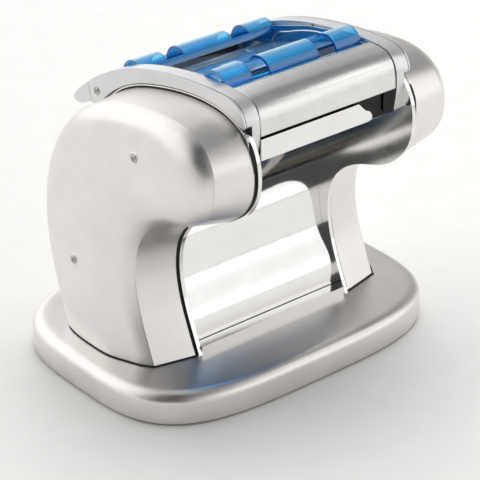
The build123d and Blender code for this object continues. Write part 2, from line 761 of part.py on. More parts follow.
with BuildPart() as roller_wiper:
    wiper_top = rear_roller_axis[1] - roller_radius - 0.3
    section([(rear_roller_axis[0] + 5, wiper_top), (rear_roller_axis[0] + 6.4, wiper_top),
             (rear_roller_axis[0] + 8.4, wiper_top - 3.6), (rear_roller_axis[0] + 6.8, wiper_top - 3.6)],
            -cheek_inner, cheek_inner)
finish(roller_wiper, "roller_wiper")

with BuildPart() as feed_chute:
    for plate in feed_plates:
        sheet(plate, chute_wall, -cheek_inner, cheek_inner)
finish(feed_chute, "feed_chute")

# ---- gear trains ----------------------------------------------------------------------

with BuildPart() as reduction_gear:
    spur_gear(reduction_axis, reduction_teeth, fine_module, reduction_phase,
              reduction_plane, thin_face, stud_bore)
    spur_gear(reduction_axis, mid_pinion_teeth, mid_module, mid_pinion_phase,
              drive_plane, reduction_plane - drive_plane, stud_bore)
finish(reduction_gear, "reduction_gear")

with BuildPart() as drive_gear:
    spur_gear(drive_axis, drive_teeth, mid_module, drive_phase, drive_plane, thin_face, stud_bore)
    spur_gear(drive_axis, drive_pinion_teeth, gear_module, drive_pinion_phase,
              roller_plane, drive_plane - roller_plane, stud_bore)
finish(drive_gear, "drive_gear")

for name, axis, phase, start in (
        ("rear_roller_gear", rear_roller_axis, rear_roller_phase, roller_plane),
        ("front_roller_gear", front_roller_axis, front_roller_phase, roller_plane),
        ("transfer_drive_gear", rear_roller_axis, rear_roller_phase, -gear_end),
        ("rear_cutter_gear", rear_cutter_axis, rear_cutter_phase, -gear_end),
        ("front_cutter_gear", front_cutter_axis, front_cutter_phase, -gear_end)):
    with BuildPart() as shaft_gear:
        spur_gear(axis, roller_teeth, gear_module, phase, start, roller_face, journal_radius + fit)
    finish(shaft_gear, name)

for i in range(3):
    with BuildPart() as transfer_gear:
        spur_gear(transfer_axes[i], transfer_teeth[i], gear_module, transfer_phases[i],
                  -gear_end, roller_face, stud_bore)
    finish(transfer_gear, "transfer_gear_" + str(i + 1))

with BuildPart() as right_studs:
    for axis in (reduction_axis, drive_axis):
        rod(axis, stud_radius, plate_inner, right_gear_plate_outer)
finish(right_studs, "right_studs")

with BuildPart() as left_studs:
    for axis in transfer_axes:
        rod(axis, stud_radius, -left_gear_plate_outer, -plate_inner)
finish(left_studs, "left_studs")

with BuildPart() as right_gear_plate:
    section(right_gear_plate_line, right_gear_plate_inner, right_gear_plate_outer)
    for axis in (reduction_axis, drive_axis):
        rod(axis, stud_radius + fit, right_gear_plate_inner, right_gear_plate_outer, mode=Mode.SUBTRACT)
    rod(cam_axis, cam_shaft_radius + running_clearance, right_gear_plate_inner,
        right_gear_plate_outer, mode=Mode.SUBTRACT)
    for spot in right_pillars:
        rod(spot, pillar_radius, plate_outer, right_gear_plate_inner)
finish(right_gear_plate, "right_gear_plate")

with BuildPart() as left_gear_plate:
    section(left_gear_plate_line, -left_gear_plate_outer, -left_gear_plate_inner)
    for axis in transfer_axes:
        rod(axis, stud_radius + fit, -left_gear_plate_outer, -left_gear_plate_inner, mode=Mode.SUBTRACT)
    for spot in left_pillars:
        rod(spot, pillar_radius, -left_gear_plate_inner, -plate_outer)
finish(left_gear_plate, "left_gear_plate")

with BuildPart() as housing_screws:
    for spot, left_end in zip(screw_spots, (left_gear_plate_outer, plate_outer)):
        rod(spot, screw_head_radius, housing_outer - 1.2, housing_outer + 0.6)
        rod(spot, 1.5, right_gear_plate_outer, housing_outer - 1.2)
        rod(spot, screw_head_radius, -housing_outer - 0.6, -housing_outer + 1.2)
        rod(spot, 1.5, -housing_outer + 1.2, -left_end)
finish(housing_screws, "housing_screws")

# ---- motor ------------------------------------------------------------------------------

with BuildPart() as motor_housing:
    rod(motor_axis, motor_radius, motor_left, motor_right)
    rod(motor_axis, motor_radius - motor_wall, motor_left + 3, motor_right - 4, mode=Mode.SUBTRACT)
    rod(motor_axis, motor_shaft_radius + 4 + fit, motor_left, motor_right, mode=Mode.SUBTRACT)
    for i in range(8):
        vent = stepped(motor_axis, motor_radius - 7, 2 * pi * i / 8)
        rod(vent, 2.5, motor_left, motor_left + 3, mode=Mode.SUBTRACT)
finish(motor_housing, "motor_housing")

with BuildPart() as motor_bearings:
    for start in (motor_left, motor_right - 4):
        rod(motor_axis, motor_shaft_radius + 4, start, start + 3.5)
        rod(motor_axis, motor_shaft_radius + running_clearance, start, start + 3.5, mode=Mode.SUBTRACT)
finish(motor_bearings, "motor_bearings")

with BuildPart() as motor_rotor:
    rod(motor_axis, rotor_radius, motor_left + 16, motor_right - 14)
    rod(motor_axis, motor_shaft_radius, motor_left - 2, reduction_end)
finish(motor_rotor, "motor_rotor")

with BuildPart() as motor_pinion:
    spur_gear(motor_axis, pinion_teeth, fine_module, pinion_phase,
              reduction_plane, thin_face, motor_shaft_radius + fit)
finish(motor_pinion, "motor_pinion")

with BuildPart() as cooling_fan:
    rod(motor_axis, 6, motor_left + 5, motor_left + 13)
    with BuildSketch(side.offset(motor_left + 5)):
        with Locations(motor_axis):
            with PolarLocations(12, 7):
                Rectangle(14, 1.6)
    extrude(amount=8)
    rod(motor_axis, motor_shaft_radius + fit, motor_left + 5, motor_left + 13, mode=Mode.SUBTRACT)
finish(cooling_fan, "cooling_fan")

# ---- thickness adjustment -----------------------------------------------------------------


def snail_cam(start, end):
    """Disc whose radius falls steadily over the knob's turn, then steps back."""
    steps = 60
    points = []
    for i in range(steps + 1):
        angle = -radians(knob_turn) * i / steps
        r = cam_high + cam_rise * angle
        points.append((cam_axis[0] + r * cos(angle), cam_axis[1] + r * sin(angle)))
    for share in (0.25, 0.5, 0.75):
        angle = -radians(knob_turn) - (2 * pi - radians(knob_turn)) * share
        r = cam_high - roller_travel * (1 - share)
        points.append((cam_axis[0] + r * cos(angle), cam_axis[1] + r * sin(angle)))
    section(points, start, end)


with BuildPart() as adjusting_shaft:
    rod(cam_axis, cam_shaft_radius, -plate_outer, housing_outer + knob_height - 4)
    snail_cam(-cheek_outer + 0.4, -cheek_inner - 0.4)
    snail_cam(cheek_inner + 0.4, cheek_outer - 0.4)
finish(adjusting_shaft, "adjusting_shaft")

with BuildPart() as thickness_knob:
    rod(cam_axis, knob_radius, housing_outer + 1.8, housing_outer + knob_height)
    fillet(thickness_knob.faces().sort_by(Axis.X)[-1].edges(), radius=2)
    with BuildSketch(side.offset(housing_outer + 4)):
        with Locations(cam_axis):
            with PolarLocations(knob_radius, 18):
                Circle(1.6)
    extrude(amount=knob_height, mode=Mode.SUBTRACT)
    rod(cam_axis, cam_shaft_radius + fit, housing_outer + 1.8, housing_outer + knob_height - 4,
        mode=Mode.SUBTRACT)
    block(cam_axis[0] - 0.6, cam_axis[0] + 0.6, cam_axis[1] + 5, cam_axis[1] + knob_radius - 2.6,
          housing_outer + knob_height - 0.5, housing_outer + knob_height, mode=Mode.SUBTRACT)
finish(thickness_knob, "thickness_knob")

with BuildPart() as knob_dial:
    rod(cam_axis, knob_radius + 5, housing_outer, housing_outer + 1.4)
    rod(cam_axis, cam_shaft_radius + 1, housing_outer, housing_outer + 1.4, mode=Mode.SUBTRACT)
finish(knob_dial, "knob_dial")

# ---- power switch ---------------------------------------------------------------------------

cy, cz = switch_center
rocker_pivot = (housing_outer - 3.0, base_center_y + cy, cz)
rocker_plane = Plane(origin=rocker_pivot, z_dir=(0, 1, 0),
                     x_dir=(cos(radians(rocker_tilt)), 0, -sin(radians(rocker_tilt))))

with BuildPart() as switch_bezel:
    block(cy - switch_width / 2 - 1.5, cy + switch_width / 2 + 1.5, cz - switch_height / 2 - 1.5,
          cz + switch_height / 2 + 1.5, housing_outer, housing_outer + 1.6)
    block(cy - switch_width / 2 + 1.3, cy + switch_width / 2 - 1.3, cz - switch_height / 2 + 1.3,
          cz + switch_height / 2 - 1.3, right_gear_plate_outer + 2, housing_outer)
    block(cy - switch_width / 2 + 2.6, cy + switch_width / 2 - 2.6, cz - switch_height / 2 + 2.6,
          cz + switch_height / 2 - 2.6, right_gear_plate_outer + 6, housing_outer + 2, mode=Mode.SUBTRACT)
    with BuildSketch(rocker_plane):
        Circle(rocker_pin_radius + running_clearance)
    extrude(amount=switch_width / 2, both=True, mode=Mode.SUBTRACT)
finish(switch_bezel, "switch_bezel")

rocker_half = switch_height / 2 - 3.4
with BuildPart() as power_rocker:
    with BuildSketch(rocker_plane):
        with BuildLine():
            Polyline((-1.5, -rocker_half), (4.6, -rocker_half), (3.2, 0), (4.6, rocker_half),
                     (-1.5, rocker_half), (-4, 0), close=True)
        make_face()
    extrude(amount=switch_width / 2 - 3, both=True)
    with BuildSketch(rocker_plane):
        Circle(rocker_pin_radius)
    extrude(amount=switch_width / 2 - 1.5, both=True)
finish(power_rocker, "power_rocker")
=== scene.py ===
# Electric pasta maker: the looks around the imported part. Profiles are (Y, Z) in millimetres from the
# middle of the base, and rowShift moves them along Y into the row frame.
import json

import bmesh
import bpy
import numpy as np
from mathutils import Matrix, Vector

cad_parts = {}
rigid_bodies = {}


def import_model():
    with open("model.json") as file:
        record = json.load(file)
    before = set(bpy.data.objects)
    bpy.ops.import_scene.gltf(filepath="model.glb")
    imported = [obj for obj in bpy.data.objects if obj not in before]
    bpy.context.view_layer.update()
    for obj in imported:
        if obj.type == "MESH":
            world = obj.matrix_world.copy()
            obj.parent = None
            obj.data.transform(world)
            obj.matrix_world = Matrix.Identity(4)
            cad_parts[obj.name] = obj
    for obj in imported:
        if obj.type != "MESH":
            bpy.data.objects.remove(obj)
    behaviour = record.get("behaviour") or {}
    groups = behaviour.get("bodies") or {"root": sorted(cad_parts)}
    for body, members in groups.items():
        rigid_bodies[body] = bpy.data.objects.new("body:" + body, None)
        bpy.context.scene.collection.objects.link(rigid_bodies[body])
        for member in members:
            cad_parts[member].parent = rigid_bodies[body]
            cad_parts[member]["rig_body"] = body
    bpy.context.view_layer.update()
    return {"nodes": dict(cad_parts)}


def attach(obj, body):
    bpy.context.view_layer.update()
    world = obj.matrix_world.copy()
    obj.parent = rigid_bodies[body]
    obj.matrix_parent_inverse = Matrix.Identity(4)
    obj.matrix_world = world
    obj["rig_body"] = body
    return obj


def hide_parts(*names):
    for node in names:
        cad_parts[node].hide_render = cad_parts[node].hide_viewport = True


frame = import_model()
nodes = frame["nodes"]
rowShift = 8.2
print("frame loaded:", len(nodes), "nodes")

# distances in metres within which doubles merge, and angles in degrees: faces flatter than the first are
# joined in a copy of a CAD node, and edges sharper than the second are rounded
mending = {"merge": 2e-7, "mergeCad": 1e-6, "flat": 0.6, "edge": 35}


def smoothCurve(points, count):
    # cubic Hermite through the points, slopes from their neighbours, sampled evenly along the chords
    p = np.asarray(points, float)
    t = np.r_[0, np.cumsum(np.linalg.norm(np.diff(p, axis=0), axis=1))]
    slope = np.gradient(p, t, axis=0)
    s = np.linspace(0, t[-1], count)
    i = np.clip(np.searchsorted(t, s, side="right") - 1, 0, len(t) - 2)
    h = (t[i + 1] - t[i])[:, None]
    u = (s - t[i])[:, None] / h
    return ((2 * u**3 - 3 * u**2 + 1) * p[i] + (u**3 - 2 * u**2 + u) * h * slope[i]
            + (3 * u**2 - 2 * u**3) * p[i + 1] + (u**3 - u**2) * h * slope[i + 1])


def sideNormals(curve, closed=False):
    # unit vectors square to a (Y, Z) curve, on its left
    ahead, behind = np.roll(curve, -1, 0), np.roll(curve, 1, 0)
    if not closed:
        ahead[-1], behind[0] = curve[-1], curve[0]
    d = ahead - behind
    d /= np.linalg.norm(d, axis=1)[:, None]
    return np.stack([-d[:, 1], d[:, 0]], 1)


def gridFaces(rows, cols, wrap=False):
    # quads between neighbouring rows and columns of a grid of vertices
    a, b = np.meshgrid(np.arange(rows - 1), np.arange(cols if wrap else cols - 1), indexing="ij")
    right = (b + 1) % cols
    quads = np.stack([a * cols + b, a * cols + right, (a + 1) * cols + right, (a + 1) * cols + b], -1)
    return quads.reshape(-1, 4).tolist()


def millimetreMesh(name, vertices, faces, merge=None):
    # vertices in millimetres of the row frame; doubles may be merged, and the faces are turned outwards
    mesh = bpy.data.meshes.new(name)
    mesh.from_pydata((np.asarray(vertices) * 0.001).tolist(), [], faces)
    work = bmesh.new()
    work.from_mesh(mesh)
    if merge:
        bmesh.ops.remove_doubles(work, verts=work.verts, dist=merge)
    bmesh.ops.recalc_face_normals(work, faces=work.faces)
    work.to_mesh(mesh)
    work.free()
    return mesh


def dressPiece(name, mesh, material, body, stands, sharp, bevel):
    # the mesh as an object on its body, smooth but for its sharp edges, with a rounding of bevel millimetres
    mesh.shade_smooth()
    mesh.set_sharp_from_angle(angle=np.radians(sharp))
    mesh.materials.clear()
    mesh.materials.append(material)
    piece = bpy.data.objects.new(name, mesh)
    bpy.context.scene.collection.objects.link(piece)
    if bevel:
        soft = piece.modifiers.new("softEdges", "BEVEL")
        soft.width = bevel * 0.001
        soft.segments = 3
        soft.limit_method = "ANGLE"
        soft.angle_limit = np.radians(mending["edge"])
        soft.harden_normals = True
    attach(piece, body)
    if stands:
        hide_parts(*stands)
    return piece


def makePiece(name, vertices, faces, material, body, slot, stands=(), sharp=40):
    mesh = millimetreMesh(name, vertices, faces, mending["merge"])
    return dressPiece(name, mesh, material, body, stands, sharp, 0)


def softCopy(node, material, bevel, sharp=40):
    # a copy of a CAD node with its loose triangles merged, flat faces joined and edges rounded
    mesh = nodes[node].data.copy()
    work = bmesh.new()
    work.from_mesh(mesh)
    bmesh.ops.remove_doubles(work, verts=work.verts, dist=mending["mergeCad"])
    bmesh.ops.dissolve_limit(work, angle_limit=np.radians(mending["flat"]), verts=work.verts,
                             edges=work.edges)
    work.to_mesh(mesh)
    work.free()
    name = node.title().replace("_", "")
    return dressPiece(name[0].lower() + name[1:] + "Soft", mesh, material,
                      nodes[node]["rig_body"], [node], sharp, bevel)


def carve(piece, vertices, faces):
    # takes the closed solid out of the piece's mesh for good
    cutter = bpy.data.objects.new("cutter", millimetreMesh("cutter", vertices, faces))
    bpy.context.scene.collection.objects.link(cutter)
    cut = piece.modifiers.new("cut", "BOOLEAN")
    cut.operation, cut.solver, cut.object = "DIFFERENCE", "EXACT", cutter
    piece.modifiers.move(len(piece.modifiers) - 1, 0)
    soft = [m for m in piece.modifiers if m != cut]
    for m in soft:
        m.show_viewport = False
    bpy.context.view_layer.update()
    whole = piece.evaluated_get(bpy.context.evaluated_depsgraph_get())
    piece.data = bpy.data.meshes.new_from_object(whole)
    piece.modifiers.remove(cut)
    for m in soft:
        m.show_viewport = True
    bpy.data.objects.remove(cutter)


def carriedLoop(loop, span, edge, way=1):
    # a closed (Y, Z) loop carried along X over the span, on the left side where way is -1; at each end it
    # draws in along a quarter circle of radius edge
    left, right = sorted(way * x for x in span)
    area = np.sum(loop[:, 0] * np.roll(loop[:, 1], -1) - np.roll(loop[:, 0], -1) * loop[:, 1])
    inward = sideNormals(loop, closed=True) * np.sign(area)
    turn = np.linspace(0, np.pi / 2, 4)
    stations = np.r_[left + edge * (1 - np.cos(turn)), right - edge * (1 - np.cos(turn[::-1]))]
    insets = np.r_[edge * (1 - np.sin(turn)), edge * (1 - np.sin(turn[::-1]))]
    rings = loop[None] + inward[None] * insets[:, None, None]
    x = np.broadcast_to(stations[:, None, None], rings.shape[:2] + (1,))
    grid = np.concatenate([x, rings], 2)
    grid[..., 1] += rowShift
    count = len(loop)
    last = (len(stations) - 1) * count
    faces = gridFaces(len(stations), count, wrap=True)
    faces += [list(range(count)), list(range(last, last + count))]
    return grid.reshape(-1, 3), faces


def lathed(profile, count=64, shape=None):
    # (radius, height) pairs turned round the height axis; shape may change the heights point by point
    turn = np.linspace(0, 2 * np.pi, count, endpoint=False)
    r, z = np.array(profile, float).T[..., None]
    grid = np.stack([r * np.cos(turn), r * np.sin(turn), np.broadcast_to(z, (len(profile), count))], 2)
    if shape:
        grid[..., 2] = shape(grid)
    return grid.reshape(-1, 3), gridFaces(len(profile), count, wrap=True)


def alongX(part, way, x, spot):
    # a lathed part laid down, its height along X towards way, at X and a (Y, Z) spot
    vertices, faces = part
    return vertices[:, [2, 0, 1]] * (way, 1, 1) + (x, spot[0] + rowShift, spot[1]), faces


def joined(parts):
    # several (vertices, faces) pairs as one
    vertices, faces = [], []
    for spots, quads in parts:
        first = sum(map(len, vertices))
        vertices.append(spots)
        faces += [[i + first for i in quad] for quad in quads]
    return np.concatenate(vertices), faces


def sheetLoop(curve, thickness):
    # closed section of a bent sheet: its outer curve, a round edge, the curve set back, a round edge
    inner = curve + sideNormals(curve) * thickness
    turn = np.linspace(0, np.pi, 7)[1:-1, None]
    ends = []
    for here, there in ((curve[-1], inner[-1]), (inner[0], curve[0])):
        middle, arm = (here + there) / 2, (here - there) / 2
        out = np.array([arm[1], -arm[0]])
        out *= 1 if out @ (middle - curve.mean(0)) > 0 else -1
        ends.append(middle + arm * np.cos(turn) + out * np.sin(turn))
    return np.concatenate([curve, ends[0], inner[::-1], ends[1]])


def linearColor(hexText):
    # sRGB hex to linear light
    c = np.array([int(hexText[i:i + 2], 16) / 255 for i in (1, 3, 5)])
    c = np.where(c <= 0.04045, c / 12.92, ((c + 0.055) / 1.055) ** 2.4)
    return (*c.tolist(), 1.0)


def addNode(tree, kind, settings=None, links=None):
    # settings name sockets or the node's own values, and links bring other nodes' outputs to its sockets
    node = tree.nodes.new("ShaderNode" + kind)
    for key, value in (settings or {}).items():
        if isinstance(key, int) or key in node.inputs:
            node.inputs[key].default_value = value
        else:
            setattr(node, key, value)
    for key, source in (links or {}).items():
        tree.links.new(source, node.inputs[key])
    return node


def setStops(ramp, stops):
    # stops are (place, colour) pairs, two or more
    while len(ramp.elements) < len(stops):
        ramp.elements.new(1.0)
    for stop, (place, color) in zip(ramp.elements, stops):
        stop.position, stop.color = place, color


def startMaterial(name):
    material = bpy.data.materials.new(name)
    material.use_nodes = True
    tree = material.node_tree
    tree.nodes.clear()
    return material, tree, addNode(tree, "TexCoord").outputs["Object"]


def endMaterial(material, shader):
    addNode(material.node_tree, "OutputMaterial", links={"Surface": shader.outputs[0]})
    return material


def grainedFinish(name, color, shade, metallic, roughness, grain, depth, spread,
                  stretch=(1, 1, 1), extra=None, driftSize=34):
    # colour and roughness drift over driftSize, and the grain gives bump; grain and depth are its size and
    # height, all in millimetres, and spread is how far the roughness drifts
    material, tree, place = startMaterial(name)
    drift = addNode(tree, "TexNoise", {"Scale": 1000 / driftSize, "Detail": 4.0, "Roughness": 0.6},
                    {"Vector": place})
    lay = addNode(tree, "Mapping", {"Scale": stretch}, {"Vector": place})
    fine = addNode(tree, "TexNoise", {"Scale": 1000 / grain, "Detail": 3.0, "Roughness": 0.65},
                   {"Vector": lay.outputs[0]})
    tint = addNode(tree, "ValToRGB", links={"Fac": drift.outputs[0]})
    setStops(tint.color_ramp, [(0.3, linearColor(shade)), (0.7, linearColor(color))])
    both = addNode(tree, "Math", {"operation": "ADD"}, {0: drift.outputs[0], 1: fine.outputs[0]})
    rough = addNode(tree, "MapRange", {"From Min": 0.7, "From Max": 1.3, "To Min": roughness - spread,
                                       "To Max": roughness + spread}, {"Value": both.outputs[0]})
    bump = addNode(tree, "Bump", {"Strength": 1.0, "Distance": depth * 0.001}, {"Height": fine.outputs[0]})
    shader = addNode(tree, "BsdfPrincipled", {"Metallic": metallic, **(extra or {})},
                     {"Base Color": tint.outputs[0], "Roughness": rough.outputs[0],
                      "Normal": bump.outputs[0]})
    return endMaterial(material, shader)


# bead-blasted aluminium: an even, soft silver without streaks; 0.3 mm grit is drawn as 1.5 mm to show
blastedAluminium = grainedFinish("blastedAluminium", "#ebe8e5", "#e3e0dd", metallic=1.0, roughness=0.34,
                                 grain=1.5, depth=0.03, spread=0.03)
# brushed stainless steel: fine straight scratches along the rollers, 0.5 mm apart, drawn 30 times as long
brushedSteel = grainedFinish("brushedSteel", "#e8e7e5", "#dddcda", metallic=1.0, roughness=0.27,
                             grain=0.5, depth=0.005, spread=0.03, stretch=(0.03, 1, 1))
# polished stainless steel: a near mirror with faint wipe marks
polishedSteel = grainedFinish("polishedSteel", "#efeeec", "#e9e8e6", metallic=1.0, roughness=0.11,
                              grain=3.0, depth=0.002, spread=0.03)
# ground roller steel: an even sheen
groundSteel = grainedFinish("groundSteel", "#c4c3c1", "#b4b3b1", metallic=1.0, roughness=0.24,
                            grain=0.6, depth=0.006, spread=0.05)
# hobbed gear steel: darker, under an oil film
gearSteel = grainedFinish("gearSteel", "#9a9894", "#84827e", metallic=1.0, roughness=0.34,
                          grain=1.2, depth=0.02, spread=0.08)
# moulded ABS with a bright silver paint: soft sheen, slight orange peel of 1.5 mm
silverAbs = grainedFinish("silverAbs", "#e4e4e4", "#dddddd", metallic=0.8, roughness=0.33,
                          grain=1.5, depth=0.005, spread=0.03)
# white moulded polypropylene: soft sheen
whitePolypropylene = grainedFinish("whitePolypropylene", "#f3f4f5", "#ebecee", metallic=0.0, roughness=0.4,
                                   grain=1.5, depth=0.01, spread=0.04)
# black moulded ABS: spark-eroded grain of 0.6 mm
blackAbs = grainedFinish("blackAbs", "#0b0b0d", "#070709", metallic=0.0, roughness=0.36,
                         grain=0.6, depth=0.01, spread=0.05, extra={"Specular IOR Level": 0.25})
# black nitrile rubber: matt
blackRubber = grainedFinish("blackRubber", "#101011", "#171717", metallic=0.0, roughness=0.66,
                            grain=1.0, depth=0.02, spread=0.08)
# natural nylon: off-white, slightly waxy
naturalNylon = grainedFinish("naturalNylon", "#e4dfcf", "#d9d3c0", metallic=0.0, roughness=0.45,
                             grain=1.2, depth=0.01, spread=0.05,
                             extra={"Subsurface Weight": 0.15, "Subsurface Radius": (0.001, 0.001, 0.001)})
# sintered bronze: dull and slightly porous
sinteredBronze = grainedFinish("sinteredBronze", "#9c7a4a", "#8a683c", metallic=1.0, roughness=0.42,
                               grain=0.7, depth=0.03, spread=0.06)
# stoved dark paint on the motor
motorPaint = grainedFinish("motorPaint", "#2b2e33", "#24272b", metallic=0.0, roughness=0.38,
                           grain=1.6, depth=0.01, spread=0.06)
# zinc-plated steel: bright, faintly cloudy
zincedSteel = grainedFinish("zincedSteel", "#bdbdba", "#a9a9a6", metallic=1.0, roughness=0.26,
                            grain=0.9, depth=0.008, spread=0.06)

azure = {
    "lightFrom": (-0.35, 0.3, 0.887),
    # painted light and shade: the colour against how far the surface faces that light
    "paintedLightTones": [(0.0, "#0f9cf0"), (0.3, "#24b8fb"), (0.62, "#42ccff"), (0.86, "#a2e8ff"), (1.0, "#daf6ff")],
    # painted shade: the edges cut across the tubes are drawn nearly navy
    "paintedEdgeShade": "#2670e2",
    "edgeShadeFacing": (0.6, 0.9),        # how far a face turns to X from none to all of the painted edge shade
    "endWalls": (0.0655, 0.0662),   # from this X to this one, in metres, the end walls lose the painted edge shade again
    "ripple": 12, "rippleHeight": 0.04, "smudge": 30,    # millimetres
    "roughness": (0.02, 0.07),
    "ior": 1.3, "clear": 0.74, "coatIor": 1.585, "coatRoughness": 0.03,
}


def tintedPolycarbonate(name, look):
    # clear dyed polycarbonate: glass-smooth, with faint moulding ripples; over the dye, painted light and
    # shade make it pale on the crowns that face the light and deep on the flanks, and a painted shade makes
    # it nearly navy on the edges cut across the tubes
    material, tree, place = startMaterial(name)
    ripple = addNode(tree, "TexNoise", {"Scale": 1000 / look["ripple"], "Detail": 2.0}, {"Vector": place})
    smudge = addNode(tree, "TexNoise", {"Scale": 1000 / look["smudge"], "Detail": 5.0, "Roughness": 0.7},
                     {"Vector": place})
    bump = addNode(tree, "Bump", {"Strength": 1.0, "Distance": look["rippleHeight"] * 0.001},
                   {"Height": ripple.outputs[0]})
    smooth, dull = look["roughness"]
    rough = addNode(tree, "MapRange", {"From Min": 0.35, "From Max": 0.7, "To Min": smooth, "To Max": dull},
                    {"Value": smudge.outputs[0]})
    # painted light and shade: the colour follows how far the surface faces lightFrom
    facing = addNode(tree, "TexCoord").outputs["Normal"]
    lit = addNode(tree, "VectorMath", {"operation": "DOT_PRODUCT", 1: look["lightFrom"]}, {0: facing})
    paintedLight = addNode(tree, "ValToRGB", links={"Fac": lit.outputs["Value"]})
    setStops(paintedLight.color_ramp, [(spot, linearColor(tone)) for spot, tone in look["paintedLightTones"]])

    def ramp(vector, limits, start, end):
        # start to end while the size of the vector's X goes between the limits
        x = addNode(tree, "SeparateXYZ", links={0: vector}).outputs[0]
        size = addNode(tree, "Math", {"operation": "ABSOLUTE"}, {0: x}).outputs[0]
        settings = {"From Min": limits[0], "From Max": limits[1], "To Min": start, "To Max": end}
        return addNode(tree, "MapRange", settings, {"Value": size}).outputs[0]

    # painted shade on the faces cut across the tubes, all but the end walls
    cut = addNode(tree, "Math", {"operation": "MULTIPLY"}, {0: ramp(facing, look["edgeShadeFacing"], 0.0, 1.0),
                                                            1: ramp(place, look["endWalls"], 1.0, 0.0)})
    both = addNode(tree, "MixRGB", {"Color2": linearColor(look["paintedEdgeShade"])},
                   {"Fac": cut.outputs[0], "Color1": paintedLight.outputs[0]})
    shader = addNode(tree, "BsdfPrincipled",
                     {"IOR": look["ior"], "Transmission Weight": look["clear"], "Coat Weight": 1.0,
                      "Coat Roughness": look["coatRoughness"], "Coat IOR": look["coatIor"]},
                     {"Base Color": both.outputs[0], "Roughness": rough.outputs[0],
                      "Normal": bump.outputs[0]})
    return endMaterial(material, shader)


azurePolycarbonate = tintedPolycarbonate("azurePolycarbonate", azure)

nodeFinishes = {
    blastedAluminium: ["base_cover", "left_housing", "right_housing"],
    polishedSteel: ["left_side_plate", "right_side_plate", "exit_strip", "back_wall", "crossbar", "tie_rods",
                    "guard_pins"],
    whitePolypropylene: ["feed_chute"],
    brushedSteel: ["front_cover", "rear_cover", "rear_panel", "base_plate", "right_gear_plate",
                   "left_gear_plate"],
    silverAbs: ["left_cheek", "right_cheek"],
    groundSteel: ["rear_roller", "front_roller", "rear_cutter", "front_cutter", "adjusting_shaft"],
    gearSteel: ["drive_gear", "rear_roller_gear", "front_roller_gear", "transfer_drive_gear",
                "rear_cutter_gear", "front_cutter_gear", "transfer_gear_1", "transfer_gear_2",
                "transfer_gear_3", "motor_pinion", "right_studs", "left_studs"],
    blackAbs: ["comb_carrier", "carrier_lug", "thickness_knob", "switch_bezel", "power_rocker",
               "power_inlet", "cooling_fan"],
    blackRubber: ["left_gasket", "right_gasket", "base_feet"],
    naturalNylon: ["rear_comb", "front_comb", "roller_wiper", "reduction_gear"],
    sinteredBronze: ["roller_bushes", "bearing_blocks", "motor_bearings"],
    motorPaint: ["motor_housing", "motor_rotor"],
    zincedSteel: ["housing_screws", "knob_dial"],
    azurePolycarbonate: ["guard"],
}
for material, names in nodeFinishes.items():
    for name in names:
        nodes[name].data.materials.clear()
        nodes[name].data.materials.append(material)
print("finishes set on", sum(len(names) for names in nodeFinishes.values()), "nodes")

shell = {
    "rim": 83.4,                # X of the rim, against the gasket
    "crown": (138.5, -0.0182),  # X of the crown at the table, and its slope with Z
    "foot": 27.6,               # Z where the shell ends, inside the top of the base
    "outline": [
        (-58.5, 28.6), (-49.0, 50.0), (-39.0, 76.0), (-34.5, 104.0), (-38.5, 127.0), (-52.0, 146.0),
        (-76.0, 159.5), (-103.0, 169.5), (-119.0, 182.5), (-128.5, 198.0), (-131.0, 215.0), (-128.0, 232.0),
        (-117.5, 247.0), (-100.0, 256.0), (-77.0, 259.0), (-50.0, 257.5), (-20.0, 252.0), (5.0, 245.0),
        (26.0, 235.5), (46.0, 221.5), (62.0, 204.0), (75.0, 180.0), (83.0, 153.0), (85.0, 125.0),
        (82.0, 98.0), (74.0, 68.0), (65.5, 46.0), (58.0, 28.6),
    ],
    # front point of the outline against the back point across the spine, counted along the outline
    "pairs": [(0, 27), (1, 26), (2, 25), (3, 24), (4, 22.5), (5, 19.5), (6, 15.8), (7, 14)],
    # along the outline: how far in the side wall ends, its share of the height there, and the shares of
    # the foot's form and of the back's form in the dome above it; the rest is the head's form
    "edge": {
        0: (7.5, 0.66, 1, 0), 3: (7.5, 0.66, 1, 0), 5: (8.0, 0.66, 0.6, 0), 6: (7.4, 0.665, 0.25, 0),
        7: (6.4, 0.67, 0, 0), 9: (4.8, 0.675, 0, 0), 11: (4.2, 0.675, 0, 0), 13: (3.2, 0.67, 0, 0.4),
        14: (2.8, 0.67, 0, 0.7), 16: (2.6, 0.665, 0, 1), 20: (2.2, 0.66, 0, 1), 27: (2.0, 0.655, 0, 1),
    },
    # share of the way from the wall's end to the spine, against the share of the height left over
    "headForm": [(0, 0), (0.057, 0.178), (0.13, 0.357), (0.219, 0.508), (0.333, 0.64), (0.492, 0.78),
                 (0.714, 0.925), (0.88, 0.985), (1, 1)],
    "footForm": [(0, 0), (0.078, 0.14), (0.16, 0.27), (0.26, 0.395), (0.47, 0.575), (0.66, 0.74),
                 (0.86, 0.91), (1, 1)],
    "backForm": [(0, 0), (0.0325, 0.25), (0.08, 0.47), (0.155, 0.66), (0.25, 0.79), (0.4, 0.885),
                 (0.6, 0.955), (0.8, 0.99), (1, 1)],
    "wallPower": 0.93,          # how the side wall leans in as it rises
}
# the smooth outline, and how far along it each of its corners lies
outline = smoothCurve(shell["outline"], 900)
corner = np.r_[0, np.cumsum(np.linalg.norm(np.diff(shell["outline"], axis=0), axis=1))]


def onOutline(at):
    # points of the outline at the given lengths along it
    reach = np.linspace(0, corner[-1], len(outline))
    return np.stack([np.interp(at, reach, outline[:, k]) for k in (0, 1)], 1)


